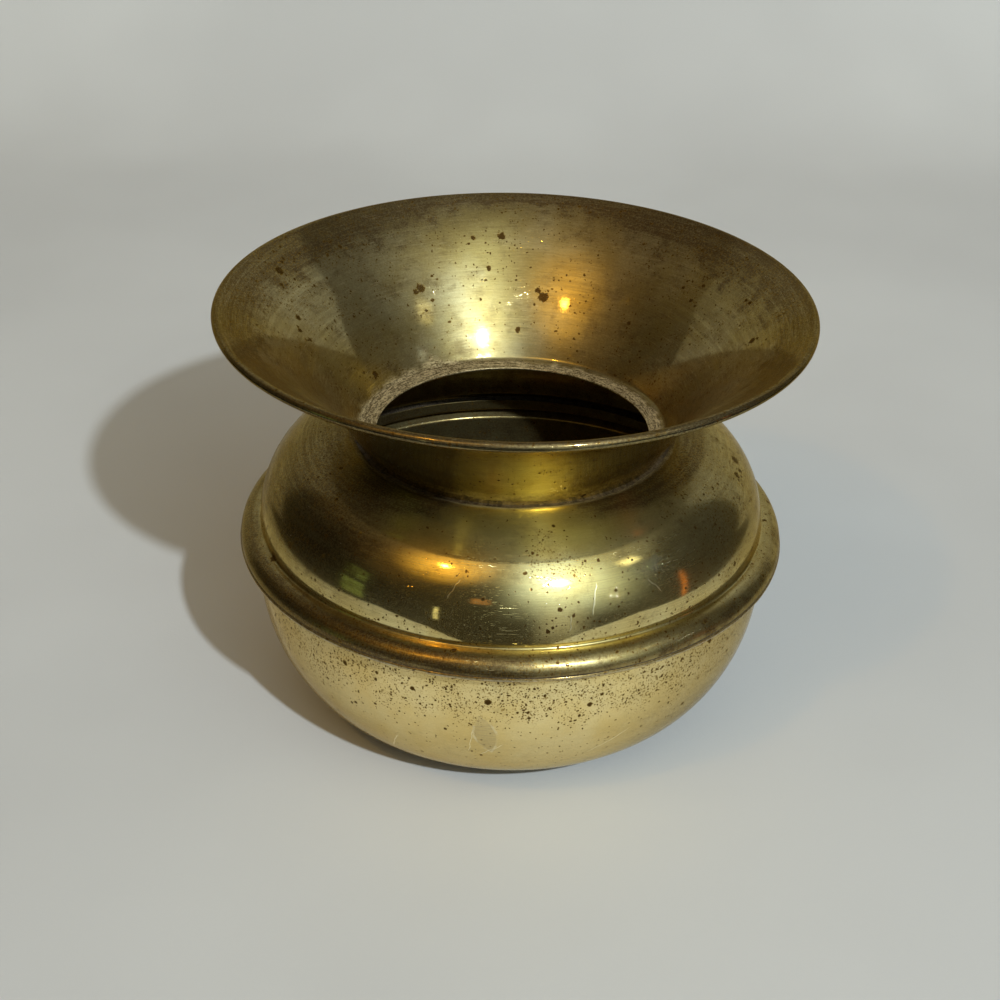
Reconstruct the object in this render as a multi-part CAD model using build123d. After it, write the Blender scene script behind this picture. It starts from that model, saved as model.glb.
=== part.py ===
from build123d import *
from math import acos, asin, atan2, cos, degrees, hypot, radians, sin, tan
import os

# Brass spittoon: a flared mouth funnel soldered on a domed shoulder, which is soldered on a bowl.
# Every piece is a body of revolution about the Z axis. The origin is at the centre of the base,
# on the surface that the bowl stands on, and +Z is up. Sizes are in millimetres and degrees.

# Sheet and solder
sheet = 0.8                     # thickness of the spun brass
solder_film = 0.2               # solder between two sheets

# Heights that stack up to the whole height of 190.5
ledge_height = 82.2             # ledge of the bowl, which carries the shoulder
belt_rise = 7.6                 # from the ledge to the top of the belt
dome_rise = 40.7                # from the top of the belt to the crown of the shoulder
funnel_rise = 60.0              # from the crown to the top of the rim

# Mouth funnel and its rolled rim
mouth_radius = 127.0            # outer edge of the rolled rim
rim_slope = 31.0                # slope of the funnel wall where it meets the rim
rim_wire_radius = 1.1
rim_wire_clearance = 0.05       # between the wire and the sheet rolled round it
curl_gap = 0.1                  # between the cut edge of the roll and the funnel wall
neck_radius = 67.6              # bend between the funnel foot and the funnel wall
neck_inner_bend_radius = 0.6
funnel_foot_width = 7.8         # from that bend in to the hole through the foot

# Seat of the funnel on the shoulder, and the solder that shows round the neck
seat_slope = 10.0               # dish of the crown under the funnel foot
crown_hole_setback = 0.7        # from the throat to the hole in the crown
neck_solder_width = 3.0
neck_solder_height = 1.0
seat_margin = 1.0               # from the neck solder to the start of the dome

# Shoulder with its belt
shoulder_radius = 111.3         # widest part of the dome
belt_overhang = 9.0             # from there to the outside of the belt
belt_fillet_radius = 1.0        # hollow between the dome and the belt
skirt_height = 0.6              # straight wall below the round top of the belt

# Bowl with its folded bead and the collar above it
foot_radius = 60.0              # outer edge of the flat ring that the bowl stands on
foot_width = 3.0                # from there in to the wall of the recess
foot_inner_bend_radius = 0.4
recess_bend_radius = 2.0
bowl_step = 1.9                 # how much wider the bowl is than the dome
upright_rise = 7.2              # upright wall between the curved side and the bead
bead_drop = 7.0                 # from the ledge down to the foot of the bead
bead_proud = 0.4                # how far the nose of the bead stands out past the belt
nose_inner_bend_radius = 0.2
flank_bend_radius = 1.0
collar_clearance = 0.3          # between the collar and the inside of the dome
collar_rise = 4.6               # above the ledge
collar_bend_radius = 0.4
belt_solder_width = 1.6         # fillet inside the skirt

# Weight, and the cover that closes the recess under the bowl
weight_thickness = 5.0
weight_side_clearance = 1.5
weight_chamfer = 0.8
weight_clearance = 0.1          # above and below the weight
cover_inset = 2.0               # from the cover down to the surface that the bowl stands on
cover_inner_bend_radius = 0.4
lip_foot_gap = 0.8              # under the turned-down edge of the cover
base_solder_height = 0.4

# Places worked out from the sizes above
throat_radius = neck_radius - funnel_foot_width
crown_radius = neck_radius + neck_solder_width + seat_margin
belt_radius = shoulder_radius + belt_overhang
bowl_radius = shoulder_radius + bowl_step
recess_radius = foot_radius - foot_width
belt_top_height = ledge_height + belt_rise
crown_height = belt_top_height + dome_rise
rim_height = crown_height + funnel_rise
cover_top_height = cover_inset + sheet
weight_height = cover_top_height + weight_clearance
recess_height = weight_height + weight_thickness + weight_clearance
roll_inner_radius = rim_wire_radius + rim_wire_clearance
roll_outer_radius = roll_inner_radius + sheet
roll_centre = Vector(mouth_radius - roll_outer_radius, rim_height - roll_outer_radius)


def seat_height(radius):
    """Height of the dished seat of the crown at a radius."""
    return crown_height - (crown_radius - radius) * tan(radians(seat_slope))


def outline(*corners):
    """Flat section with straight sides, from corners given as radius and height."""
    return make_face(Polyline(*corners, close=True))


def sheet_along(line, side):
    """Section of one thickness of sheet along one side of a line."""
    return make_face(line.offset_2d(sheet, side=side, closed=True).edges())


def quarter_sheet(centre, run, rise, start):
    """Section of one thickness of sheet inside a quarter of an ellipse."""
    outer = EllipticalCenterArc(centre, run, rise, start_angle=start, arc_size=90)
    inner = EllipticalCenterArc(centre, run - sheet, rise - sheet, start_angle=start, arc_size=90)
    return make_face([outer, inner, Line(outer @ 0, inner @ 0), Line(outer @ 1, inner @ 1)])


def turned(section):
    """Solid that a section makes when it is turned about the Z axis."""
    return revolve(Plane.XZ * section, axis=Axis.Z)


def rim_roll():
    """Section of the sheet rolled outwards and under, nearly a full turn round the wire."""
    roll_angle = 360 - degrees(acos((roll_inner_radius - curl_gap) / roll_outer_radius))
    inner, outer = [
        CenterArc(roll_centre, radius, 90 + rim_slope, arc_size=-roll_angle)
        for radius in (roll_inner_radius, roll_outer_radius)
    ]
    return make_face([inner, outer, Line(inner @ 0, outer @ 0), Line(inner @ 1, outer @ 1)])


def make_mouth_funnel():
    """Funnel whose foot lies on the seat and whose wall flares to the rolled rim."""
    slope = Vector(cos(radians(rim_slope)), sin(radians(rim_slope)))
    rim_end = roll_centre + Vector(-slope.Y, slope.X) * roll_inner_radius
    foot_end = Vector(neck_radius, seat_height(neck_radius) + solder_film)
    foot_start = Vector(throat_radius, seat_height(throat_radius) + solder_film)
    underside = Wire([Line(foot_start, foot_end), TangentArc(rim_end, foot_end, tangent=-slope)])
    bend = underside.vertices().sort_by_distance(foot_end)[0]
    underside = underside.fillet_2d(neck_inner_bend_radius + sheet, [bend])
    return turned(sheet_along(underside, Side.LEFT) + rim_roll())


def make_rim_wire():
    """Steel wire that stiffens the rolled rim."""
    return Pos(0, 0, roll_centre.Y) * Torus(roll_centre.X, rim_wire_radius)


def make_neck_solder(mouth_funnel):
    """Solder film under the funnel foot, with the fillet that shows round the neck."""
    hole_radius = throat_radius + crown_hole_setback
    fillet_radius = neck_radius + neck_solder_width
    film_height = seat_height(neck_radius) + solder_film
    ring = outline(
        (hole_radius, seat_height(hole_radius)),
        (fillet_radius, seat_height(fillet_radius)),
        (neck_radius, film_height + neck_solder_height),
        (neck_radius, film_height + sheet / 2),
        (hole_radius, seat_height(hole_radius) + solder_film + sheet / 2),
    )
    return turned(ring) - mouth_funnel


def make_shoulder_shell():
    """Domed shell with the dished seat at its crown and the flared belt at its lower edge."""
    hole_radius = throat_radius + crown_hole_setback
    seat = outline(
        (hole_radius, seat_height(hole_radius)),
        (crown_radius, crown_height),
        (crown_radius, crown_height - sheet),
        (hole_radius, seat_height(hole_radius) - sheet),
    )
    hollow_height = belt_top_height + belt_fillet_radius
    hollow_radius = shoulder_radius + belt_fillet_radius
    skirt_edge = ledge_height + solder_film
    skirt_top = skirt_edge + skirt_height
    dome = quarter_sheet(
        (crown_radius, hollow_height), shoulder_radius - crown_radius, crown_height - hollow_height, 0
    )
    hollow_outer = belt_fillet_radius + sheet
    hollow = quarter_sheet((hollow_radius, hollow_height), hollow_outer, hollow_outer, 180)
    belt = quarter_sheet(
        (hollow_radius, skirt_top), belt_radius - hollow_radius, belt_top_height - skirt_top, 0
    )
    skirt = outline(
        (belt_radius - sheet, skirt_edge),
        (belt_radius, skirt_edge),
        (belt_radius, skirt_top),
        (belt_radius - sheet, skirt_top),
    )
    return turned(seat + dome + hollow + belt + skirt)


def bead_line():
    """Outer line of the bowl's upright wall, folded bead, ledge and collar."""
    nose_radius = nose_inner_bend_radius + sheet
    flank_foot = Vector(bowl_radius, ledge_height - bead_drop)
    nose_centre = Vector(belt_radius + bead_proud - nose_radius, ledge_height - nose_radius)
    reach = nose_centre - flank_foot
    flank_slope = atan2(reach.Y, reach.X) - asin(nose_radius / hypot(reach.X, reach.Y))
    collar_radius = shoulder_radius - sheet - collar_clearance
    return FilletPolyline(
        (bowl_radius, flank_foot.Y - upright_rise),
        flank_foot,
        (bowl_radius + bead_drop / tan(flank_slope), ledge_height),
        (collar_radius, ledge_height),
        (collar_radius, ledge_height + collar_rise),
        radius=[flank_bend_radius, nose_radius, collar_bend_radius],
    )


def make_lower_bowl():
    """Bowl with a recessed floor, a foot ring, a curved side, a folded bead and a collar."""
    floor = FilletPolyline(
        (0, recess_height),
        (recess_radius, recess_height),
        (recess_radius, 0),
        (foot_radius, 0),
        radius=[recess_bend_radius, foot_inner_bend_radius + sheet],
    )
    bead = bead_line()
    belly_height = (bead @ 0).Y
    side = quarter_sheet((foot_radius, belly_height), bowl_radius - foot_radius, belly_height, 270)
    return turned(sheet_along(floor, Side.LEFT) + side + sheet_along(bead, Side.LEFT))


def make_belt_solder(shoulder_shell, lower_bowl):
    """Solder film under the skirt, with a fillet in the corner inside it."""
    skirt_edge = ledge_height + solder_film
    skirt_inside = belt_radius - sheet
    ring = outline(
        (skirt_inside - belt_solder_width, ledge_height - sheet / 2),
        (belt_radius, ledge_height - sheet / 2),
        (belt_radius, skirt_edge),
        (skirt_inside, skirt_edge),
        (skirt_inside, skirt_edge + belt_solder_width),
        (skirt_inside - belt_solder_width, ledge_height),
    )
    return turned(ring) - shoulder_shell - lower_bowl


def make_base_weight():
    """Cast iron disc that keeps the object from tipping."""
    radius = recess_radius - weight_side_clearance
    disc = Cylinder(radius, weight_thickness, align=(Align.CENTER, Align.CENTER, Align.MIN))
    disc = chamfer(disc.edges().filter_by(GeomType.CIRCLE), weight_chamfer)
    return Pos(0, 0, weight_height) * disc


def make_base_cover():
    """Plate under the weight, with its edge turned down inside the recess."""
    radius = recess_radius - solder_film
    top = FilletPolyline(
        (0, cover_top_height),
        (radius, cover_top_height),
        (radius, lip_foot_gap),
        radius=cover_inner_bend_radius + sheet,
    )
    return turned(sheet_along(top, Side.RIGHT))


def make_base_solder(lower_bowl, base_cover):
    """Solder between the edge of the cover and the wall of the recess."""
    lip_inside = recess_radius - solder_film - sheet
    wall_middle = recess_radius + sheet / 2
    ring = outline(
        (lip_inside, lip_foot_gap - base_solder_height),
        (wall_middle, lip_foot_gap - base_solder_height),
        (wall_middle, cover_inset),
        (lip_inside + sheet / 2, cover_inset),
        (lip_inside, lip_foot_gap),
    )
    return turned(ring) - lower_bowl - base_cover


mouth_funnel = make_mouth_funnel()
shoulder_shell = make_shoulder_shell()
lower_bowl = make_lower_bowl()
base_cover = make_base_cover()
parts = {
    "mouth_funnel": mouth_funnel,
    "rim_wire": make_rim_wire(),
    "neck_solder": make_neck_solder(mouth_funnel),
    "shoulder_shell": shoulder_shell,
    "belt_solder": make_belt_solder(shoulder_shell, lower_bowl),
    "lower_bowl": lower_bowl,
    "base_weight": make_base_weight(),
    "base_cover": base_cover,
    "base_solder": make_base_solder(lower_bowl, base_cover),
}

os.makedirs("parts", exist_ok=True)
for name, shape in parts.items():
    export_step(shape, f"parts/{name}.step")
print("overall height", round(rim_height, 2))
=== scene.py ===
from math import acos, asin, atan2, ceil, cos, degrees, exp, hypot, pi, radians, sin, tan

import bpy
from mathutils import Euler, Matrix, Vector, noise


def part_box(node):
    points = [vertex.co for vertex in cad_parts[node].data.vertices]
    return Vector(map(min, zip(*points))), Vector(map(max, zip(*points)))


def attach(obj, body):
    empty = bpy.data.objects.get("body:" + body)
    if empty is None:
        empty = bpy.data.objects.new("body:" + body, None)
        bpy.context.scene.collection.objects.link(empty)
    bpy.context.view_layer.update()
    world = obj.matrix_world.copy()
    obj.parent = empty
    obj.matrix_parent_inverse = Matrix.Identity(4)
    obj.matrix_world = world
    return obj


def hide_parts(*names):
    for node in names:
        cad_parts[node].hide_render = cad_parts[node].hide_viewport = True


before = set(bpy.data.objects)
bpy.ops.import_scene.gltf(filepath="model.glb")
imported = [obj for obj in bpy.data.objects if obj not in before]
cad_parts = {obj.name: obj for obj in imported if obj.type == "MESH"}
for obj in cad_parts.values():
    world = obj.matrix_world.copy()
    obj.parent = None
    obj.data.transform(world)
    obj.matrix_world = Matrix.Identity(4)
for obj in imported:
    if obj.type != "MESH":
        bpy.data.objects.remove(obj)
# Blender's start-up objects aren't part of the scene and would widen its box
for thing in ("Cube", "Light", "Camera"):
    if thing in bpy.data.objects:
        bpy.data.objects.remove(bpy.data.objects[thing])
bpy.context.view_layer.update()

# Brass spittoon, aged and lacquered. The spun pieces are turned meshes that follow the sections
# of the CAD nodes. Sizes of the object are in millimetres and degrees, and MM turns them into metres.
# Sizes of the stage are in metres.

MM = 0.001


def reach(node):
    """Lowest height, highest height and widest radius of a CAD node."""
    low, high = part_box(node)
    return round(low.z / MM, 2), round(high.z / MM, 2), round(high.x / MM, 2)


# Sizes that the frame gives
_, RIM_HEIGHT, MOUTH_RADIUS = reach("mouth_funnel")
SKIRT_EDGE, CROWN_HEIGHT, BELT_RADIUS = reach("shoulder_shell")
_, COLLAR_TOP, BEAD_RADIUS = reach("lower_bowl")
NECK_FILLET_RADIUS = reach("neck_solder")[2]

# Sizes of the sheet and of the bends, as on the CAD pieces
SHEET = 0.8
FILM = 0.2
RIM_SLOPE = 31.0
ROLL_INNER_RADIUS = 1.15
CURL_GAP = 0.1
NECK_RADIUS = 67.6
FUNNEL_FOOT_WIDTH = 7.8
NECK_BEND = 0.6
FILLED_BEND = 2.6
SEAT_SLOPE = 10.0
HOLE_SETBACK = 0.7
CROWN_RADIUS = 71.6
DOME_RADIUS = 111.3
BELT_RISE = 7.6
HOLLOW_RADIUS = 1.0
SKIRT_HEIGHT = 0.6
FOOT_RADIUS = 60.0
FOOT_WIDTH = 3.0
RECESS_HEIGHT = 8.0
RECESS_BEND = 2.0
FOOT_BEND = 1.2
BOWL_RADIUS = 113.2
UPRIGHT_RISE = 7.2
BEAD_DROP = 7.0
NOSE_RADIUS = 1.0
FLANK_BEND = 1.0
COLLAR_RADIUS = 110.2
COLLAR_BEND = 0.4
LEDGE_HEIGHT = SKIRT_EDGE - FILM
THROAT_RADIUS = NECK_RADIUS - FUNNEL_FOOT_WIDTH
CROWN_HOLE_RADIUS = THROAT_RADIUS + HOLE_SETBACK

# How finely the turned meshes are divided
TURN_STEPS = 360
POINT_STEP = 1.6
STRAIGHT_STEP = 4.0
ARC_STEP = 5.0
EDGE_EASE = 0.15
SHARP_ANGLE = 32
FINE_TURN_STEPS = 900
SAME_POINT = 0.01
CORNER_CLEARANCE = 0.3
SHARPEST_MITRE = 0.5
ROLLED_POINTS = 40

# Unevenness of the spun sheet
WAVE_DEPTH = 0.07
WAVE_LENGTH = 34.0
QUICK_WAVE_LENGTH = WAVE_LENGTH / 3


def seat_height(radius):
    """Height of the dished seat under the funnel foot."""
    return CROWN_HEIGHT - (CROWN_RADIUS - radius) * tan(radians(SEAT_SLOPE))


def arc(centre, run, rise, start, end):
    """Points of an arc of an ellipse between two angles."""
    length = radians(abs(end - start)) * max(run, rise)
    steps = max(2, ceil(abs(end - start) / ARC_STEP), ceil(length / POINT_STEP))
    turns = [radians(start + (end - start) * i / steps) for i in range(steps + 1)]
    return [Vector((centre[0] + run * cos(t), centre[1] + rise * sin(t))) for t in turns]


def straight(start, end):
    """Points of a straight line."""
    start, end = Vector(start), Vector(end)
    steps = max(1, ceil((end - start).length / STRAIGHT_STEP))
    return [start.lerp(end, i / steps) for i in range(steps + 1)]


def joined(*lines):
    """One line from several that follow each other."""
    points = []
    for line in lines:
        points += [p for p in line if not points or (p - points[-1]).length > SAME_POINT]
    return points


def bend(before, corner, after, radius):
    """Points of an arc that rounds the corner between two other points."""
    before, corner, after = Vector(before), Vector(corner), Vector(after)
    arriving, leaving = (corner - before).normalized(), (after - corner).normalized()
    turn = arriving.angle_signed(leaving)
    side = -1 if turn > 0 else 1
    normal = Vector((-arriving.y, arriving.x)) * side
    start = corner - arriving * radius * tan(abs(turn) / 2)
    centre = start + normal * radius
    first = degrees(atan2(start.y - centre.y, start.x - centre.x))
    return arc(centre, radius, radius, first, first + side * degrees(abs(turn)))


def rounded(corners, radii):
    """Line through corners, each inner one rounded by its radius."""
    parts = [[Vector(corners[0])]]
    for before, corner, after, radius in zip(corners, corners[1:], corners[2:], radii):
        curve = bend(before, corner, after, radius)
        parts += [straight(parts[-1][-1], curve[0]), curve]
    parts.append(straight(parts[-1][-1], corners[-1]))
    return joined(*parts)


def beside(line, distance):
    """Line that runs to the left of another at a distance."""
    moved = []
    for i, point in enumerate(line):
        before, after = line[max(i - 1, 0)], line[min(i + 1, len(line) - 1)]
        arriving = (point - before).normalized() if i else (after - point).normalized()
        leaving = (after - point).normalized() if i < len(line) - 1 else arriving
        normal = (arriving + leaving).normalized().orthogonal()
        mitre = max(normal.dot(arriving.orthogonal()), SHARPEST_MITRE)
        moved.append(point + normal * distance / mitre)
    return moved


def funnel_line(neck_bend):
    """Underside of the funnel, from its foot to the end of the rolled rim. neck_bend is the radius of
    the bend at the neck on the other side of the sheet, the side of the mouth."""
    slope = Vector((cos(radians(RIM_SLOPE)), sin(radians(RIM_SLOPE))))
    across = Vector((slope.y, -slope.x))
    roll_outer = ROLL_INNER_RADIUS + SHEET
    roll_centre = Vector((MOUTH_RADIUS - roll_outer, RIM_HEIGHT - roll_outer))
    rim_end = roll_centre - across * ROLL_INNER_RADIUS
    foot_end = Vector((NECK_RADIUS, seat_height(NECK_RADIUS) + FILM))
    foot_start = Vector((THROAT_RADIUS, seat_height(THROAT_RADIUS) + FILM))
    chord = foot_end - rim_end
    radius = chord.length_squared / (2 * chord.dot(across))
    centre = rim_end + across * radius
    first = degrees(atan2(foot_end.y - centre.y, foot_end.x - centre.x))
    last = degrees(atan2(rim_end.y - centre.y, rim_end.x - centre.x))
    wall = arc(centre, radius, radius, first, last)
    corner = bend(foot_start, foot_end, wall[2], neck_bend + SHEET)
    wall = [p for p in wall if p.y > corner[-1].y + CORNER_CLEARANCE]
    roll_angle = 360 - degrees(acos((ROLL_INNER_RADIUS - CURL_GAP) / roll_outer))
    roll_start = 90 + RIM_SLOPE
    roll_end = roll_start - roll_angle
    roll = arc(roll_centre, ROLL_INNER_RADIUS, ROLL_INNER_RADIUS, roll_start, roll_end)
    return joined(straight(foot_start, corner[0]), corner, wall, roll)


def shoulder_line():
    """Outside of the shoulder, from the hole in its crown to the edge of its skirt."""
    hollow_centre = (DOME_RADIUS + HOLLOW_RADIUS, LEDGE_HEIGHT + BELT_RISE + HOLLOW_RADIUS)
    skirt_top = SKIRT_EDGE + SKIRT_HEIGHT
    hole_edge = (CROWN_HOLE_RADIUS, seat_height(CROWN_HOLE_RADIUS))
    seat = straight(hole_edge, (CROWN_RADIUS, CROWN_HEIGHT))
    run, rise = DOME_RADIUS - CROWN_RADIUS, CROWN_HEIGHT - hollow_centre[1]
    dome = arc((CROWN_RADIUS, hollow_centre[1]), run, rise, 90, 0)
    hollow = arc(hollow_centre, HOLLOW_RADIUS, HOLLOW_RADIUS, 180, 270)
    belt_run, belt_rise = BELT_RADIUS - hollow_centre[0], LEDGE_HEIGHT + BELT_RISE - skirt_top
    belt = arc((hollow_centre[0], skirt_top), belt_run, belt_rise, 90, 0)
    return joined(seat, dome, hollow, belt, straight(belt[-1], (BELT_RADIUS, SKIRT_EDGE)))


def bowl_line():
    """Outside of the bowl, from the middle of its floor to the top of its collar."""
    recess_radius = FOOT_RADIUS - FOOT_WIDTH
    floor = rounded(
        [(0, RECESS_HEIGHT), (recess_radius, RECESS_HEIGHT), (recess_radius, 0), (FOOT_RADIUS, 0)],
        [RECESS_BEND, FOOT_BEND],
    )
    flank_foot = Vector((BOWL_RADIUS, LEDGE_HEIGHT - BEAD_DROP))
    belly_height = flank_foot.y - UPRIGHT_RISE
    side = arc((FOOT_RADIUS, belly_height), BOWL_RADIUS - FOOT_RADIUS, belly_height, 270, 360)
    nose = Vector((BEAD_RADIUS - NOSE_RADIUS, LEDGE_HEIGHT - NOSE_RADIUS)) - flank_foot
    flank = atan2(nose.y, nose.x) - asin(NOSE_RADIUS / hypot(nose.x, nose.y))
    bead = rounded(
        [
            side[-1],
            flank_foot,
            (BOWL_RADIUS + BEAD_DROP / tan(flank), LEDGE_HEIGHT),
            (COLLAR_RADIUS, LEDGE_HEIGHT),
            (COLLAR_RADIUS, COLLAR_TOP),
        ],
        [FLANK_BEND, NOSE_RADIUS, COLLAR_BEND],
    )
    return joined(floor, side, bead)


def uneven(point):
    """How far the sheet lies inside its true section at a point, from 0 to about WAVE_DEPTH."""
    slow = noise.noise(point / WAVE_LENGTH)
    quick = noise.noise(point / QUICK_WAVE_LENGTH + Vector((7, 3, 5)))
    return WAVE_DEPTH * (0.5 + 0.4 * slow + 0.1 * quick)


def sheet_section(line, inner_from=None):
    """Closed section of the sheet on the left of a line, with its cut edges eased. The inner side may
    follow another line."""
    inner = beside(inner_from or line, SHEET)
    first, last = line[0], line[-1]
    section = list(line)
    across = (inner[-1] - last).normalized() * EDGE_EASE
    along = (line[-2] - last).normalized() * EDGE_EASE
    section[-1] = last + along
    section += [last + across, inner[-1] - across]
    inner[-1] = inner[-1] + along
    if first.x > EDGE_EASE:
        across = (inner[0] - first).normalized() * EDGE_EASE
        along = (line[1] - first).normalized() * EDGE_EASE
        edge = [inner[0] - across, first + across]
        section[0] = first + along
        inner[0] = inner[0] + along
        return section + inner[::-1] + edge
    return section + inner[::-1]


def turned(name, section, finish_of, materials, turn_steps=TURN_STEPS):
    """Piece made by turning a closed section of radius and height about the Z axis. The section may
    be a function of the angle. finish_of says which material the stretch after a point has."""
    shape = section if callable(section) else lambda angle: section
    count = len(shape(0.0))
    vertices, index = [], {}
    for i in range(turn_steps):
        angle = 2 * pi * i / turn_steps
        for j, (radius, height) in enumerate(shape(angle)):
            on_axis = radius < EDGE_EASE
            if on_axis and i:
                index[i, j] = index[0, j]
                continue
            point = Vector((radius * cos(angle), radius * sin(angle), height))
            if not on_axis:
                point.xy *= 1 - uneven(point) / radius
            index[i, j] = len(vertices)
            vertices.append(point * MM)
    faces, finishes = [], []
    for i in range(turn_steps):
        there = (i + 1) % turn_steps
        for j in range(count):
            k = (j + 1) % count
            corners = dict.fromkeys((index[i, j], index[there, j], index[there, k], index[i, k]))
            if len(corners) > 2:
                faces.append(tuple(corners))
                finishes.append(finish_of(j))
    mesh = bpy.data.meshes.new(name)
    mesh.from_pydata(vertices, [], faces)
    mesh.polygons.foreach_set("material_index", finishes)
    mesh.polygons.foreach_set("use_smooth", [True] * len(faces))
    mesh.update()
    mesh.set_sharp_from_angle(angle=radians(SHARP_ANGLE))
    for material in materials:
        mesh.materials.append(material)
    piece = bpy.data.objects.new(name, mesh)
    bpy.context.scene.collection.objects.link(piece)
    return piece


# Sockets of the node that remaps, in the order of its method's arguments
RANGE_SOCKETS = ("Value", "From Min", "From Max", "To Min", "To Max")

# Sizes of the patterns, and the radius at which ring marks have their length
CLOUD_SIZE = 38.0
PATCH_SIZE = 9.0
CLUSTER_SIZE = 13.0
GRAIN_SIZE = 0.9
STIPPLE_SIZE = 0.75
USUAL_RADIUS = 110.0


class Graph:
    """Adds shader nodes to one tree and joins them. A value is a number or the output of a node."""

    def __init__(self, owner):
        owner.use_nodes = True
        self.tree = owner.node_tree
        self.tree.nodes.clear()

    def add(self, kind, inputs=None, **settings):
        """New node, with its settings made and its inputs filled or joined."""
        node = self.tree.nodes.new("ShaderNode" + kind)
        for name, value in settings.items():
            setattr(node, name, value)
        for key, value in (inputs or {}).items():
            if isinstance(value, bpy.types.NodeSocket):
                self.tree.links.new(value, node.inputs[key])
            else:
                node.inputs[key].default_value = value
        return node

    def math(self, operation, *values):
        return self.add("Math", dict(enumerate(values)), operation=operation).outputs[0]

    def chain(self, operation, values):
        """Several values put together one after the other."""
        result = values[0]
        for value in values[1:]:
            result = self.math(operation, result, value)
        return result

    def times(self, *values):
        return self.chain("MULTIPLY", values)

    def plus(self, *values):
        return self.chain("ADD", values)

    def most(self, *values):
        return self.chain("MAXIMUM", values)

    def minus(self, value, less):
        return self.math("SUBTRACT", value, less)

    def size(self, value):
        """The value without its sign."""
        return self.math("ABSOLUTE", value)

    def rest(self, share):
        """What a share leaves of the whole."""
        return self.minus(1.0, share)

    def held(self, value, low=0.0, high=1.0):
        return self.math("MINIMUM", self.math("MAXIMUM", value, low), high)

    def swing(self, value, depth):
        """A noise value turned into one that swings about zero."""
        return self.times(self.minus(value, 0.5), depth)

    def remap(self, value, low, high, new_low=0.0, new_high=1.0):
        """Smooth step from one range to another, held at its ends."""
        inputs = dict(zip(RANGE_SOCKETS, (value, low, high, new_low, new_high)))
        return self.add("MapRange", inputs, interpolation_type="SMOOTHSTEP").outputs[0]

    def blend(self, share, first, second, blend_type="MIX"):
        """Colour between two colours."""
        inputs = {0: share, 6: first, 7: second}
        return self.add("Mix", inputs, data_type="RGBA", blend_type=blend_type).outputs[2]

    def noise(self, place, scale, detail, roughness, turn=None):
        """Noise from 0 to 1, with a fourth coordinate where turn gives one."""
        inputs = {"Vector": place, "Scale": scale, "Detail": detail, "Roughness": roughness}
        if turn is None:
            return self.add("TexNoise", inputs).outputs[0]
        inputs["W"] = turn
        return self.add("TexNoise", inputs, noise_dimensions="4D").outputs[0]

    def vector(self, operation, *values):
        """Vector that comes of an operation on others."""
        return self.add("VectorMath", dict(enumerate(values)), operation=operation).outputs[0]

    def measure(self, operation, *values):
        """Number that comes of an operation on vectors."""
        node = self.add("VectorMath", dict(enumerate(values)), operation=operation)
        return node.outputs["Value"]

    def shifted(self, place, x, y, z):
        return self.vector("ADD", place, (x, y, z))

    def bump(self, height):
        """Normal of a relief with its height in millimetres."""
        inputs = {"Height": self.times(height, MM), "Strength": 1.0, "Distance": 1.0}
        return self.add("Bump", inputs).outputs[0]

    def finish_with(self, shader):
        self.add("OutputMaterial", {"Surface": shader.outputs[0]})

    def warped(self, place, scale, depth):
        """Place pushed about by a noise, so that round shapes turn out ragged."""
        colour = self.add("TexNoise", {"Vector": place, "Scale": scale, "Detail": 2.0}).outputs[1]
        middle = self.vector("SUBTRACT", colour, (0.5, 0.5, 0.5))
        return self.vector("MULTIPLY_ADD", middle, (depth, depth, depth), place)


class Surface(Graph):
    """Graph that knows where a point is on the object, in millimetres: its radius, its height, and
    how far across (to the right) and along (to the back) it lies, as shares of the radius."""

    def __init__(self, owner):
        super().__init__(owner)
        here = self.add("TexCoord").outputs["Object"]
        scaled = self.add("VectorMath", {0: here, "Scale": 1 / MM}, operation="SCALE")
        self.point = scaled.outputs[0]
        x, y, self.height = self.add("SeparateXYZ", {0: self.point}).outputs
        flat = self.add("CombineXYZ", {0: x, 1: y}).outputs[0]
        self.radius = self.measure("LENGTH", flat)
        ray = self.vector("NORMALIZE", flat)
        self.across, self.along = self.add("SeparateXYZ", {0: ray}).outputs[:2]


def ring_marks(s, width, length):
    """Noise drawn out round the axis, such as the marks of spinning and polishing, which are about
    as wide and as long as width and length say."""
    reach_round = USUAL_RADIUS / length
    inputs = {
        0: s.math("DIVIDE", s.radius, width),
        1: s.math("DIVIDE", s.height, width),
        2: s.times(s.across, reach_round),
    }
    drawn_out = s.add("CombineXYZ", inputs).outputs[0]
    return s.noise(drawn_out, 1.0, 3.0, 0.6, s.times(s.along, reach_round))


def specks(s, point, cell, share, smallest, largest):
    """Spots, one in a share of the cells of that size, from 0 to 1 in the middle."""
    cells = s.add("TexVoronoi", {"Vector": point, "Scale": 1 / cell, "Randomness": 1.0})
    chance, size = s.add("SeparateColor", {0: cells.outputs["Color"]}).outputs[:2]
    radius = s.math("MULTIPLY_ADD", s.times(size, size), largest - smallest, smallest)
    present = s.math("LESS_THAN", chance, share)
    depth = s.math("DIVIDE", cells.outputs["Distance"], radius)
    return s.times(s.remap(depth, 0.5, 1.0, 1.0, 0.0), present)


def hairlines(s, point, turn, width, length, threshold):
    """Fine straight scratches that all run one way, fewer with a higher threshold."""
    stretch = (1 / length, 1 / width, 1 / width)
    drawn_out = s.add("Mapping", {"Vector": point, "Rotation": turn, "Scale": stretch}).outputs[0]
    return s.remap(s.noise(drawn_out, 1.0, 1.0, 0.5), threshold, threshold + 0.03)


def near(s, centre, radius, ragged):
    """1 round a place on the object, falling to 0 at a ragged edge."""
    distance = s.measure("DISTANCE", s.point, centre)
    return s.remap(s.plus(distance, ragged), radius * 0.7, radius * 1.15, 1.0, 0.0)


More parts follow.
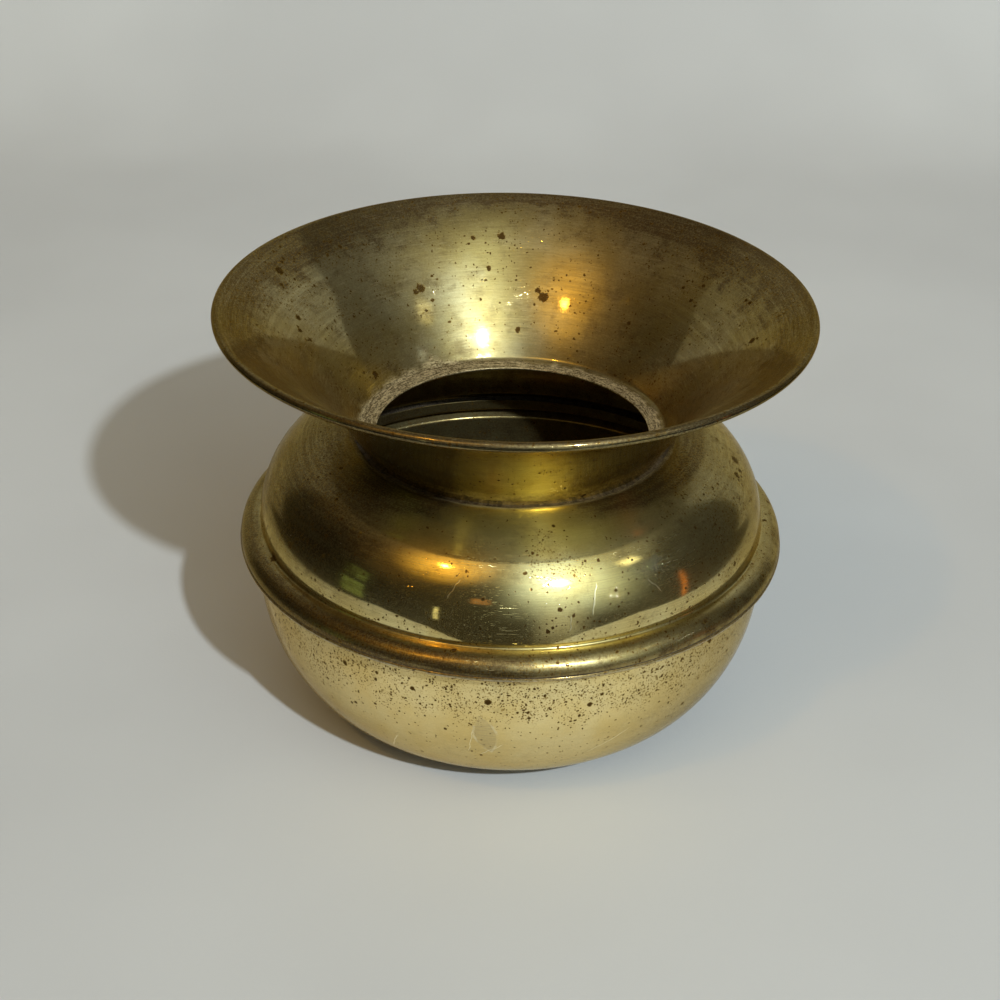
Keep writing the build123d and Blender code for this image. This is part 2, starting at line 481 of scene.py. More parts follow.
def spot_place(azimuth, radius, height):
    """Point at a turn from the front, in degrees, a radius and a height."""
    turn = radians(azimuth)
    return Vector((radius * sin(turn), -radius * cos(turn), height))


def stained(s, spots):
    """Stains: azimuth from the front, radius, height and size of each."""
    ragged = s.noise(s.point, 0.8, 3.0, 0.7)
    total = 0.0
    for azimuth, radius, height, size in spots:
        wobble = s.swing(ragged, size * 2.2)
        centre = spot_place(azimuth, radius, height)
        total = s.most(total, near(s, centre, size, wobble))
    return total


def tangent_place(s, azimuth, radius, height, tilt):
    """Coordinates along and across a direction in the surface, and the distance from the spot."""
    turn, lean = radians(azimuth), radians(tilt)
    sideways, upward = Vector((cos(turn), sin(turn), 0)), Vector((0, 0, 1))
    offset = s.shifted(s.point, *(-spot_place(azimuth, radius, height)))
    along = s.measure("DOT_PRODUCT", offset, sideways * cos(lean) + upward * sin(lean))
    across = s.measure("DOT_PRODUCT", offset, upward * cos(lean) - sideways * sin(lean))
    return along, across, s.measure("LENGTH", offset)


def scratch_marks(s, marks):
    """Single scratches: azimuth, radius, height, tilt from level, length and width."""
    waver = s.noise(s.point, 0.25, 2.0, 0.5)
    total = 0.0
    for azimuth, radius, height, tilt, length, width in marks:
        along, across, distance = tangent_place(s, azimuth, radius, height, tilt)
        bent = s.size(s.plus(across, s.swing(waver, 2.0)))
        line = s.remap(bent, width * 0.3, width * 0.7, 1.0, 0.0)
        ends = s.remap(s.size(along), length * 0.35, length * 0.5, 1.0, 0.0)
        here = s.math("LESS_THAN", distance, length)
        total = s.most(total, s.times(line, ends, here))
    return total


def leaf_mark(s, azimuth, radius, height, tilt, length, width):
    """Worn patch with two pointed ends: its inside and its outline."""
    along, across, distance = tangent_place(s, azimuth, radius, height, tilt)
    share = s.math("DIVIDE", along, length / 2)
    bulge = s.times(s.rest(s.times(share, share)), width / 2)
    ragged = s.swing(s.noise(s.point, 0.5, 3.0, 0.6), 1.6)
    margin = s.plus(s.minus(bulge, s.size(across)), ragged)
    here = s.math("LESS_THAN", distance, length)
    inside = s.times(s.remap(margin, 0.0, 0.6), here)
    outline = s.times(s.remap(s.size(margin), 0.2, 0.7, 1.0, 0.0), here)
    return inside, outline


class Brass(Surface):
    """Brass in the making: its noises, its colour so far, and how much has been laid on it of each
    thing. The finish holds numbers, colours and functions of the surface."""

    def __init__(self, owner, finish):
        super().__init__(owner)
        self.finish = finish
        point = self.point
        self.cloudy = self.noise(point, 1 / CLOUD_SIZE, 3.0, 0.6)
        self.patchy = self.noise(self.shifted(point, 31, 17, 5), 1 / PATCH_SIZE, 5.0, 0.65)
        self.clustered = self.noise(self.shifted(point, 12, 50, 9), 1 / CLUSTER_SIZE, 4.0, 0.6)
        self.grainy = self.noise(point, 1 / GRAIN_SIZE, 3.0, 0.65)
        self.coarse_rings = ring_marks(self, width=2.2, length=90.0)
        self.fine_rings = ring_marks(self, width=0.42, length=26.0)
        self.rings = self.plus(self.times(self.coarse_rings, 0.45), self.times(self.fine_rings, 0.55))
        self.streaks = ring_marks(self, width=0.6, length=7.0)

    def paint(self, share, colour):
        """Lays a colour over the colour so far."""
        self.colour = self.blend(share, self.colour, colour)


def lay_metal(s):
    """Colour of the metal, in clouds and patches, with the darker lines of spinning."""
    s.colour = s.blend(s.remap(s.cloudy, 0.34, 0.66), s.finish["deep"], s.finish["pale"])
    s.paint(s.times(s.remap(s.patchy, 0.48, 0.72), s.finish["patches"]), s.finish["dull"])
    s.lines = s.remap(s.rings, 0.40, 0.60, 1.0, 0.0)
    s.paint(s.times(s.lines, s.finish["ring_shade"]), s.finish["ring_colour"])


def lay_film(s):
    """Brown film, rubbed along the rings, with dull streaks and bright glints in it. On the shoulder
    and the bowl the film also carries painted shade.
    """
    rubbed = s.plus(s.rings, s.swing(s.grainy, 0.8))
    s.film = s.times(s.held(s.finish["film"](s)), s.remap(rubbed, 0.2, 0.75, 1.15, 0.75))
    s.film = s.held(s.film)
    # on the shoulder and bowl this film colour also paints shade
    s.paint(s.film, s.finish["film_colour"])
    strength = s.times(s.remap(s.patchy, 0.36, 0.62, 0.35, 1.0), s.finish["streaks"])
    s.paint(s.times(s.remap(s.streaks, 0.48, 0.36), strength), s.finish["film_colour"])
    s.glints = s.times(s.remap(s.streaks, 0.54, 0.66), strength)
    s.paint(s.times(s.glints, 0.3), s.finish["scratch_colour"])
    s.scoured = s.held(s.finish["scoured"](s))


def lay_pits(s):
    """Dark pits of four sizes and a fine stipple, with rust round them, and stains."""
    clusters = s.remap(s.clustered, 0.38, 0.56, 0.35, 1.0)
    region = s.times(s.finish["pit_region"](s), clusters)
    ragged = s.warped(s.point, 0.9, 1.3)
    pits = s.most(
        specks(s, ragged, 1.25, s.times(region, 0.8), 0.25, 0.52),
        specks(s, s.shifted(ragged, 8, 1, 6), 2.1, s.times(region, 0.5), 0.20, 0.46),
        specks(s, s.shifted(ragged, 3, 11, 2), 4.6, s.times(region, 0.34), 0.14, 0.36),
        specks(s, s.shifted(ragged, 9, 2, 7), 10.0, s.times(region, 0.3), 0.10, 0.19),
    )
    stipple = s.noise(s.shifted(s.point, 3, 3, 3), 1 / STIPPLE_SIZE, 1.0, 0.5)
    stipple = s.times(s.remap(stipple, 0.58, 0.66), s.remap(region, 0.12, 0.6, 0.0, 0.9))
    s.dark = s.most(pits, s.times(stained(s, s.finish["spots"]), 0.9))
    halo = s.times(s.remap(region, 0.3, 0.9), s.remap(s.grainy, 0.45, 0.65))
    s.paint(s.times(halo, s.finish["halo"]), s.finish["halo_colour"])
    rust = s.most(s.remap(s.dark, 0.0, 0.5), stipple)
    s.paint(s.times(rust, 0.9), s.finish["rust_colour"])
    s.paint(s.times(s.remap(s.dark, 0.3, 0.9), 0.95), s.finish["pit_colour"])


def lay_scratches(s):
    """Hairlines, single scratches and, on one surface, a worn patch in the shape of a leaf."""
    s.hairs = s.most(
        hairlines(s, s.point, (0.4, 1.1, 0.3), 0.16, 20.0, 0.725),
        hairlines(s, s.shifted(s.point, 5, 9, 1), (1.3, 0.2, 2.2), 0.14, 15.0, 0.73),
        hairlines(s, s.shifted(s.point, 2, 3, 8), (0.1, 0.7, 1.2), 0.2, 26.0, 0.735),
    )
    s.worn = scratch_marks(s, s.finish["scratches"])
    s.paint(s.times(s.hairs, 0.4), s.finish["scratch_colour"])
    s.paint(s.times(s.worn, 0.75), s.finish["scratch_colour"])
    s.leaf = 0.0
    if s.finish["leaf"]:
        s.leaf, outline = leaf_mark(s, *s.finish["leaf"])
        streaky = s.remap(s.streaks, 0.35, 0.6, 0.6, 0.3)
        s.paint(s.times(s.leaf, streaky), s.finish["worn_colour"])
        broken = s.remap(s.patchy, 0.42, 0.60, 0.0, 0.6)
        s.paint(s.times(outline, broken), s.finish["scratch_colour"])


def lay_solder_and_dust(s):
    """Smeared solder, scraped to a paler grey in places, and dust over all."""
    s.smear = s.held(s.finish["smear"](s))
    scraped = s.plus(s.times(s.grainy, 0.45), s.times(s.streaks, 0.55))
    scraped = s.remap(scraped, 0.42, 0.60)
    s.paint(s.smear, s.blend(scraped, s.finish["smear_dark"], s.finish["smear_pale"]))
    dusty = s.remap(s.patchy, 0.42, 0.7, 0.0, 0.12)
    s.dust = specks(s, s.shifted(s.point, 4, 4, 4), 1.9, dusty, 0.06, 0.16)
    s.paint(s.times(s.dust, s.finish["dust"]), DUST_COLOUR)


def haze_share(s):
    """Share of the soft haze in what the surface mirrors."""
    haze = s.plus(
        s.finish["haze"],
        s.times(s.film, s.finish["film_haze"]),
        s.times(s.dark, 0.2),
        s.times(s.smear, 0.6),
        s.times(s.lines, s.finish["ring_haze"]),
        s.times(s.worn, 0.3),
        s.times(s.leaf, 0.2),
        s.swing(s.patchy, 0.16),
        s.swing(s.grainy, 0.12),
        s.times(s.glints, 0.4),
        s.times(s.scoured, 0.45),
    )
    return s.held(haze, 0.03, 1.0)


def lobe_roughness(s):
    """Roughness of the mirror and of the haze."""
    mirror = s.plus(
        s.finish["mirror_roughness"],
        s.swing(s.grainy, 0.05),
        s.times(s.film, 0.05),
        s.times(s.dark, 0.25),
        s.times(s.smear, 0.3),
        s.times(s.scoured, 0.14),
    )
    soft = s.plus(
        s.finish["haze_roughness"],
        s.times(s.film, 0.06),
        s.swing(s.patchy, 0.12),
        s.times(s.dark, 0.2),
    )
    return s.held(mirror, 0.05, 0.8), s.held(soft, 0.2, 0.9)


def bare_metal(s):
    """Share of bare metal, less than 1 under lacquer, film, solder and dust."""
    cover = s.most(
        s.times(s.rest(s.dark), s.finish["veil"]),
        s.times(s.film, s.finish["film_cover"]),
        s.times(s.smear, 0.5),
        s.times(s.dust, 0.7),
    )
    return s.rest(cover)


def relief(s):
    """Height of all the marks, in millimetres."""
    return s.plus(
        s.swing(s.fine_rings, s.finish["ring_relief"]),
        s.swing(s.coarse_rings, s.finish["ring_relief"] * 2),
        s.swing(s.streaks, s.finish["streaks"] * 0.012),
        s.swing(s.grainy, 0.004),
        s.times(s.dark, -0.012),
        s.times(s.most(s.hairs, s.worn), -0.012),
        s.times(s.smear, 0.05),
        s.times(s.smear, s.swing(s.grainy, 0.08)),
        s.times(s.dust, 0.02),
    )


def brass(name, **changes):
    """Aged lacquered brass: a sharp mirror mixed with a soft haze, which differ in roughness and
    brushing. The changes say how its finish differs from the shared one."""
    material = bpy.data.materials.new(name)
    s = Brass(material, {**SHARED, **changes})
    for lay in (lay_metal, lay_film, lay_pits, lay_scratches, lay_solder_and_dust):
        lay(s)
    haze = haze_share(s)
    mirror_roughness, haze_roughness = lobe_roughness(s)
    shared = {
        "Base Color": s.colour,
        "Metallic": bare_metal(s),
        "Normal": s.bump(relief(s)),
        "Tangent": s.add("Tangent", direction_type="RADIAL", axis="Z").outputs[0],
        "Specular Tint": s.finish["edge_tint"],
        "Anisotropic Rotation": 0.25,
        "Coat Weight": s.finish["lacquer"],
        "Coat Roughness": s.finish["lacquer_roughness"],
        "Coat IOR": 1.5,
    }
    mirror, soft = (
        s.add("BsdfPrincipled", {**shared, "Roughness": rough, "Anisotropic": brushed}).outputs[0]
        for rough, brushed in ((mirror_roughness, 0.0), (haze_roughness, s.finish["brushed"]))
    )
    s.finish_with(s.add("MixShader", {0: haze, 1: mirror, 2: soft}))
    return material


def nothing(s):
    """None of it anywhere."""
    return 0.0


def mouth_film(s):
    """Brown film all over the mouth, thicker towards the rim and the throat."""
    radius = s.plus(s.radius, s.swing(s.patchy, 26.0))
    edge = s.remap(radius, 98.0, 126.0)
    lip = s.remap(s.plus(s.radius, s.swing(s.patchy, 6.0)), 118.5, 124.2)
    foot = s.remap(s.radius, 74.0, 67.0)
    side = s.remap(s.size(s.across), 0.15, 0.6, 0.0, 0.40)
    patches = s.remap(s.patchy, 0.5, 0.75, 0.0, 0.25)
    edges = s.plus(s.times(edge, 0.65), s.times(lip, 0.8), s.times(foot, 0.15))
    return s.plus(0.20, side, edges, patches)


def mouth_pits(s):
    """Spots in the mouth, most of them on its sides and towards the rim."""
    outer = s.remap(s.radius, 80.0, 120.0, 0.18, 0.36)
    sides = s.remap(s.size(s.across), 0.4, 0.9, 0.0, 0.2)
    return s.plus(outer, sides)


def mouth_smear(s):
    """Grey solder and scraped metal on the foot of the funnel, with a ragged edge."""
    side = s.remap(s.across, 0.2, -0.7, 0.0, 2.8)
    radius = s.plus(s.radius, s.swing(s.patchy, 9.0), s.swing(s.grainy, 3.0))
    return s.remap(s.minus(radius, side), 66.4, 63.8, 0.0, 0.82)


def cone_film(s):
    """Brown film on the rolled rim and round the neck."""
    rim = s.remap(s.radius, 118.0, 124.0)
    neck = s.remap(s.plus(s.height, s.swing(s.patchy, 5.0)), 133.0, 129.0)
    side = s.remap(s.size(s.plus(s.across, -0.10)), 0.2, 0.65, 0.0, 0.28)
    patches = s.remap(s.patchy, 0.52, 0.75, 0.0, 0.2)
    return s.plus(0.02, side, s.times(rim, 0.85), s.times(neck, 0.3), patches)


def cone_pits(s):
    """A few spots all over."""
    return 0.16


def shoulder_film_and_shade(s):
    """Brown film round the neck and on the belt, and painted shade with some film down the sides,
    heavier on the left and higher up, standing in for the dark room the sides mirror.
    """
    aside = s.size(s.across)
    neck = s.remap(s.plus(s.radius, s.swing(s.patchy, 8.0)), 88.0, 76.0)
    neck = s.times(neck, s.remap(aside, 0.15, 0.55))
    high = s.remap(s.height, 90.0, 108.0, 0.1, 1.0)
    # painted shade down the sides, with some film, heavier on the left
    left = s.remap(s.across, -0.15, -0.75, 0.0, 0.95)
    right = s.remap(s.across, 0.30, 0.95, 0.0, 0.66)
    side = s.times(s.plus(left, right), high)
    belt = s.remap(s.plus(s.height, s.swing(s.patchy, 4.0)), 91.5, 88.5)
    front = s.plus(s.remap(s.across, 0.6, -0.6, 0.68, 1.0), s.swing(s.patchy, 0.8))
    patches = s.remap(s.patchy, 0.5, 0.78, 0.0, 0.3)
    return s.plus(0.03, side, s.times(neck, 0.95), s.times(belt, front), patches)


def shoulder_scoured(s):
    """Fine wear round the neck, down the sides and on the belt, where the mirror is dull."""
    neck = s.remap(s.plus(s.radius, s.swing(s.patchy, 12.0)), 104.0, 84.0)
    belt = s.remap(s.height, 92.0, 89.0, 0.0, 0.8)
    sides = s.remap(s.size(s.across), 0.45, 0.95, 0.0, 0.45)
    return s.most(neck, belt, sides)


def shoulder_pits(s):
    """Spots on the sides of the shoulder and along its lower front."""
    sides = s.remap(s.size(s.across), 0.35, 0.95, 0.12, 0.6)
    low = s.remap(s.height, 115.0, 96.0, 0.0, 0.34)
    belt = s.remap(s.height, 91.0, 89.0, 0.0, 0.5)
    ragged = s.swing(s.noise(s.point, 0.12, 3.0, 0.6), 16.0)
    crown = near(s, spot_place(11, 96.5, 122.5), 15.0, ragged)
    return s.most(sides, low, belt, s.times(crown, 0.5))


def neck_smear(s):
    """Solder that ran out a little way round the neck."""
    radius = s.plus(s.radius, s.swing(s.patchy, 3.0), s.swing(s.grainy, 2.0))
    return s.remap(radius, 72.0, 70.4, 0.0, 0.6)


def bowl_film_and_shade(s):
    """Brown film under the bead and round the foot, and painted shade: the sides, more on the right,
    and the lower bowl are darkened where they mirror the shadowed floor.
    """
    bead = s.remap(s.plus(s.height, s.swing(s.patchy, 4.0)), 73.0, 79.0)
    # band just under the ledge: solder film and a painted shadow of the skirt's edge
    seam = s.remap(s.height, LEDGE_HEIGHT - 0.9, LEDGE_HEIGHT - 0.4)
    foot = s.remap(s.plus(s.height, s.swing(s.patchy, 4.0)), 16.0, 4.0)
    # painted shade: darker towards the bottom of the bowl
    low = s.remap(s.height, 64.0, 24.0, 0.0, 0.34)
    # painted shade on both sides, standing in for the shadowed floor they mirror
    left = s.remap(s.across, -0.35, -0.95, 0.0, 0.38)
    right = s.remap(s.across, 0.30, 0.90, 0.0, 0.58)
    patches = s.remap(s.patchy, 0.55, 0.85, 0.0, 0.2)
    # worn also carries the band under the ledge, which is partly painted shadow
    worn = s.plus(s.times(bead, 0.3), s.times(seam, 0.9), s.times(foot, 0.5))
    return s.plus(left, right, low, worn, patches)


def bowl_pits(s):
    """Heavy spotting on the upper front of the bowl, thinning out downwards and round the back."""
    front = s.remap(s.along, 0.1, -0.75)
    high = s.remap(s.height, 44.0, 66.0, 0.14, 1.0)
    return s.most(s.times(front, high), 0.12)


def bead_smear_and_highlight(s):
    """Pale edge of the bead with rests of solder: partly worn metal and partly a painted highlight
    along its nose.
    """
    # pale edge on the bead nose: worn metal and solder, partly a painted highlight
    height = s.plus(s.height, s.swing(s.patchy, 1.6), s.swing(s.grainy, 1.8))
    outside = s.remap(s.radius, 118.8, 119.6)
    below = s.remap(s.height, LEDGE_HEIGHT - 0.6, LEDGE_HEIGHT - 1.0)
    worn = s.remap(s.patchy, 0.38, 0.54, 0.2, 0.8)
    return s.times(s.remap(height, LEDGE_HEIGHT - 2.2, LEDGE_HEIGHT - 1.2), outside, below, worn)


def inside_film(s):
    """Thick film all over, in patches."""
    return s.plus(0.62, s.remap(s.patchy, 0.3, 0.7, 0.0, 0.35))


def inside_pits(s):
    """Spots all over."""
    return 0.35


DUST_COLOUR = (0.52, 0.48, 0.38, 1)

# What a brass surface has unless it says otherwise. spots, scratches and leaf hold what stained,
# scratch_marks and leaf_mark take.
SHARED = {
    "deep": (0.68, 0.54, 0.20, 1),
    "pale": (0.84, 0.71, 0.33, 1),
    "dull": (0.50, 0.38, 0.14, 1),
    "patches": 0.3,
    "ring_shade": 0.18,
    "ring_colour": (0.34, 0.25, 0.08, 1),
    "ring_haze": 0.10,
    "ring_relief": 0.004,
    "streaks": 0.06,
    "scoured": nothing,
    "film": nothing,
    "film_colour": (0.13, 0.085, 0.035, 1),
    "film_cover": 0.03,
    "veil": 0.0,
    "edge_tint": (0.88, 0.74, 0.46, 1),
    "film_haze": 0.12,
    "halo": 0.25,
    "halo_colour": (0.36, 0.26, 0.09, 1),
    "pit_region": nothing,
    "rust_colour": (0.28, 0.165, 0.030, 1),
    "pit_colour": (0.080, 0.042, 0.010, 1),
    "spots": [],
    "scratch_colour": (0.90, 0.80, 0.52, 1),
    "scratches": [],
    "worn_colour": (0.46, 0.37, 0.20, 1),
    "leaf": None,
    "smear": nothing,
    "smear_dark": (0.20, 0.155, 0.095, 1),
    "smear_pale": (0.52, 0.46, 0.35, 1),
    "dust": 0.45,
    "haze": 0.16,
    "haze_roughness": 0.40,
    "mirror_roughness": 0.08,
    "brushed": 0.3,
    "lacquer": 0.06,
    "lacquer_roughness": 0.05,
}

mouth_brass = brass(
    "mouth_brass",
    film=mouth_film,
    pit_region=mouth_pits,
    smear=mouth_smear,
    smear_dark=(0.085, 0.056, 0.024, 1),
    smear_pale=(0.66, 0.53, 0.31, 1),
    haze=0.38,
    haze_roughness=0.45,
    mirror_roughness=0.06,
    lacquer=0.02,
    edge_tint=(0.80, 0.62, 0.36, 1),
    film_colour=(0.13, 0.086, 0.038, 1),
    streaks=0.26,
    pale=(0.86, 0.75, 0.40, 1),
    ring_shade=0.32,
    ring_haze=0.16,
    brushed=0.35,
    spots=[
        (-176, 104.8, 176.6, 1.9),
        (-168.5, 104.4, 176.2, 1.2),
        (171, 83.7, 155.4, 2.6),
        (173, 86.0, 157.0, 1.6),
        (179, 73.9, 142.2, 1.3),
        (-112, 113.3, 183.1, 2.2),
        (-103, 97.3, 169.9, 1.6),
        (-99, 94.5, 167.3, 1.2),
        (-148, 87.7, 160.1, 1.5),
        (-150, 88.6, 161.1, 2.2),
        (-172, 92.8, 165.5, 1.3),
        (-118, 70.9, 137.3, 2.0),
        (91, 101.1, 173.4, 1.8),
        (124, 95.6, 168.3, 1.1),
    ],
)
cone_brass = brass(
    "cone_brass",
    film=cone_film,
    pit_region=cone_pits,
    deep=(0.90, 0.77, 0.32, 1),
    pale=(0.97, 0.88, 0.45, 1),
    haze=0.05,
    ring_haze=0.03,
    edge_tint=(0.60, 0.46, 0.26, 1),
    film_colour=(0.095, 0.062, 0.028, 1),
    mirror_roughness=0.07,
    streaks=0.1,
    ring_relief=0.002,
)
shoulder_brass = brass(
    "shoulder_brass",
    film=shoulder_film_and_shade,
    pit_region=shoulder_pits,
    smear=neck_smear,
    deep=(0.77, 0.62, 0.24, 1),
    pale=(0.91, 0.79, 0.38, 1),
    haze=0.08,
    haze_roughness=0.36,
    mirror_roughness=0.055,
    scoured=shoulder_scoured,
    smear_dark=(0.12, 0.085, 0.045, 1),
    smear_pale=(0.38, 0.30, 0.18, 1),
    streaks=0.10,
    spots=[
        (85, 97.5, 120.9, 2.4),
        (78.7, 99.0, 119.5, 1.8),
        (82, 99.9, 118.6, 1.4),
        (59, 111.2, 87.7, 2.2),
        (-64, 111.1, 90.5, 2.4),
        (-57, 109.2, 103.7, 1.5),
        (10.8, 108.3, 105.9, 1.1),
        (8.2, 110.7, 97.5, 0.9),
        (9.3, 110.4, 99.0, 0.7),
        (21, 98.3, 120.2, 0.7),
    ],
    scratches=[
        (18.5, 107.4, 107.9, 75, 13, 0.5),
        (-12, 105.0, 112.0, 60, 9, 0.35),
        (13, 110.0, 100.0, 82, 7, 0.3),
        (33, 107.0, 108.0, -50, 9, 0.3),
    ],
)
bowl_brass = brass(
    "bowl_brass",
    film=bowl_film_and_shade,
    pit_region=bowl_pits,
    smear=bead_smear_and_highlight,
    deep=(0.90, 0.69, 0.27, 1),
    pale=(0.97, 0.80, 0.39, 1),
    veil=0.34,
    patches=0.12,
    ring_shade=0.08,
    ring_haze=0.05,
    mirror_roughness=0.10,
    leaf=(-4.3, 110.4, 46.0, 101, 24.0, 9.5),
    scratches=[
        (-26.8, 103.2, 28.4, 62, 15, 0.6),
        (-3.0, 106.5, 36.0, 40, 14, 0.35),
        (-7.5, 109.0, 41.0, 80, 16, 0.3),
        (24, 106.0, 35.0, 35, 22, 0.3),
    ],
)
inside_brass = brass(
    "inside_brass",
    film=inside_film,
    pit_region=inside_pits,
    deep=(0.52, 0.44, 0.18, 1),
    pale=(0.72, 0.63, 0.30, 1),
    haze=0.36,
    mirror_roughness=0.16,
    lacquer=0.0,
)


def rough_metal(name, base, dark, light, metallic, roughness):
    """Solder, iron or steel, with a lumpy grain."""
    material = bpy.data.materials.new(name)
    s = Surface(material)
    lumps = s.noise(s.point, 1 / 2.5, 4.0, 0.65)
    grain = s.noise(s.point, 1 / 0.5, 3.0, 0.6)
    colour = s.blend(s.remap(lumps, 0.35, 0.6), dark, base)
    inputs = {
        "Base Color": s.blend(s.remap(grain, 0.56, 0.7, 0.0, 0.7), colour, light),
        "Metallic": metallic,
        "Roughness": s.plus(roughness, s.swing(grain, 0.3)),
        "Normal": s.bump(s.plus(s.times(lumps, 0.12), s.times(grain, 0.03))),
    }
    s.finish_with(s.add("BsdfPrincipled", inputs))
    return material


neck_grey = rough_metal(
    "neck_grey",
    base=(0.14, 0.095, 0.05, 1),
    dark=(0.045, 0.03, 0.015, 1),
    light=(0.42, 0.33, 0.20, 1),
    metallic=0.7,
    roughness=0.5,
)
seam_brown = rough_metal(
    "seam_brown",
    base=(0.08, 0.055, 0.03, 1),
    dark=(0.03, 0.02, 0.012, 1),
    light=(0.28, 0.23, 0.16, 1),
    metallic=0.5,
    roughness=0.6,
)
steel = rough_metal(
    "steel",
    base=(0.35, 0.34, 0.32, 1),
    dark=(0.20, 0.17, 0.14, 1),
    light=(0.5, 0.49, 0.47, 1),
    metallic=1.0,
    roughness=0.45,
)
iron = rough_metal(
    "iron",
    base=(0.06, 0.055, 0.05, 1),
    dark=(0.03, 0.027, 0.025, 1),
    light=(0.12, 0.10, 0.09, 1),
    metallic=0.8,
    roughness=0.65,
)


def give(piece, node):
    """Puts a new piece in the place of a CAD node."""
    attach(piece, "root")
    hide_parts(node)


def make_funnel():
    """Funnel with one finish in the mouth and another on its underside and in its roll. In the mouth
    solder fills the bend at the neck, so that side of the sheet follows a wider bend."""
    line = funnel_line(NECK_BEND)
    section = sheet_section(line, funnel_line(FILLED_BEND))
    mouth_start = len(line) + 2 + ROLLED_POINTS
    foot_edge = len(section) - 3
    piece = turned(
        "mouth_funnel_spun",
        section,
        lambda j: 0 if j >= mouth_start or j > foot_edge else 1,
        [mouth_brass, cone_brass],
    )
    give(piece, "mouth_funnel")


def make_shell(name, line, outer_finish, node):
    """Shell with one finish outside and the dull one inside."""
    section = sheet_section(line)
    piece = turned(name, section, lambda j: 0 if j < len(line) else 1, [outer_finish, inside_brass])
    give(piece, node)


def lumpy(angle, seed, rough_scale=9.0):
    """Noise round the axis, from about -1 to 1, with slow and quick swings."""
    place = Vector((cos(angle), sin(angle), seed))
    slow = noise.noise(place * 3.0)
    quick = noise.noise(place * rough_scale)
    fine = noise.noise(place * rough_scale * 4)
    return slow + 0.8 * quick + 0.6 * fine


def neck_solder_section(angle):
    """Film under the funnel foot and the uneven lip that was squeezed out round the neck."""
    width = 1.7 + 0.6 * lumpy(angle, 1.0)
    rise = 0.6 + 0.3 * lumpy(angle, 5.0)
    foot_top = seat_height(NECK_RADIUS) + FILM
    outer = min(NECK_RADIUS + width, NECK_FILLET_RADIUS + 0.6)
    return [
        (CROWN_HOLE_RADIUS, seat_height(CROWN_HOLE_RADIUS)),
        (outer, seat_height(outer) - 0.05),
        (outer + 0.05, seat_height(outer) + 0.15),
        (outer - 0.45 * width, foot_top + 0.62 * rise),
        (outer - 0.85 * width, foot_top + rise),
        (NECK_RADIUS - 0.3, foot_top + 0.95 * rise + 0.2),
        (NECK_RADIUS - 0.6, foot_top + SHEET / 2),
        (CROWN_HOLE_RADIUS, seat_height(CROWN_HOLE_RADIUS) + FILM + SHEET / 2),
    ]


def belt_solder_section(angle):
    """Film under the skirt, its ragged outer edge, and the fillet in the corner inside."""
    edge = BELT_RADIUS - 0.05 + 0.25 * lumpy(angle, 9.0, 14.0)
    rise = 0.1 + 0.12 * lumpy(angle, 2.0, 14.0)
    inside = BELT_RADIUS - SHEET
    return [
        (inside - 1.6, LEDGE_HEIGHT - SHEET / 2),
        (edge - 0.3, LEDGE_HEIGHT - SHEET / 2),
        (edge, LEDGE_HEIGHT - 0.25),
        (edge, LEDGE_HEIGHT + 0.1),
        (BELT_RADIUS - 0.25, SKIRT_EDGE + rise),
        (inside, SKIRT_EDGE + 1.6),
        (inside - 1.6, LEDGE_HEIGHT),
    ]


def make_solder(name, section, node, material):
    """Ring of solder, divided finely enough for its ragged edge."""
    give(turned(name, section, lambda j: 0, [material], FINE_TURN_STEPS), node)


make_funnel()
make_shell("shoulder_spun", shoulder_line()[::-1], shoulder_brass, "shoulder_shell")
make_shell("bowl_spun", bowl_line(), bowl_brass, "lower_bowl")
make_solder("neck_solder_lip", neck_solder_section, "neck_solder", neck_grey)
make_solder("belt_solder_seam", belt_solder_section, "belt_solder", seam_brown)
for node, material in (
    ("rim_wire", steel),
    ("base_weight", iron),
    ("base_cover", inside_brass),
    ("base_solder", neck_grey),
):
    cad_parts[node].material_slots[0].material = material

# Floor and backdrop: a pale sheet, narrow under the object, that widens and curves up behind it. Its
# front edge is scooped, and the brass mirrors that edge.
SHEET_FRONT = -0.365
SHEET_SCOOP = 0.138
SHEET_SCOOP_WIDTH = 0.15
SHEET_WIDENS_FROM = 0.30
SHEET_DROP = 0.0002
SHEET_BACK = 0.66
SHEET_CURVE = 0.30
SHEET_TOP = 1.45
SHEET_HALF_WIDTH = 0.45
BACKDROP_HALF_WIDTH = 1.5
CURVE_STEPS = 24
WIDENING_STEPS = 6
FRONT_STEPS = 30
CLOTH_SHADE = (0.588, 0.586, 0.590, 1)
CLOTH_LIGHT = (0.648, 0.648, 0.652, 1)


def pale_cloth():
    """Pale cloth with a fine weave and soft creases."""
    material = bpy.data.materials.new("pale_cloth")
    g = Graph(material)
    here = g.add("TexCoord").outputs["Object"]
    soft = g.noise(here, 2.6, 3.0, 0.5)
    weave = g.noise(here, 900.0, 2.0, 0.5)
    creases = g.noise(here, 5.0, 3.0, 0.55)
    inputs = {
        "Base Color": g.blend(g.remap(soft, 0.35, 0.65), CLOTH_SHADE, CLOTH_LIGHT),
        "Roughness": 0.75,
        "Normal": g.bump(g.plus(g.times(weave, 0.05), g.times(creases, 1.2))),
    }
    g.finish_with(g.add("BsdfPrincipled", inputs))
    return material


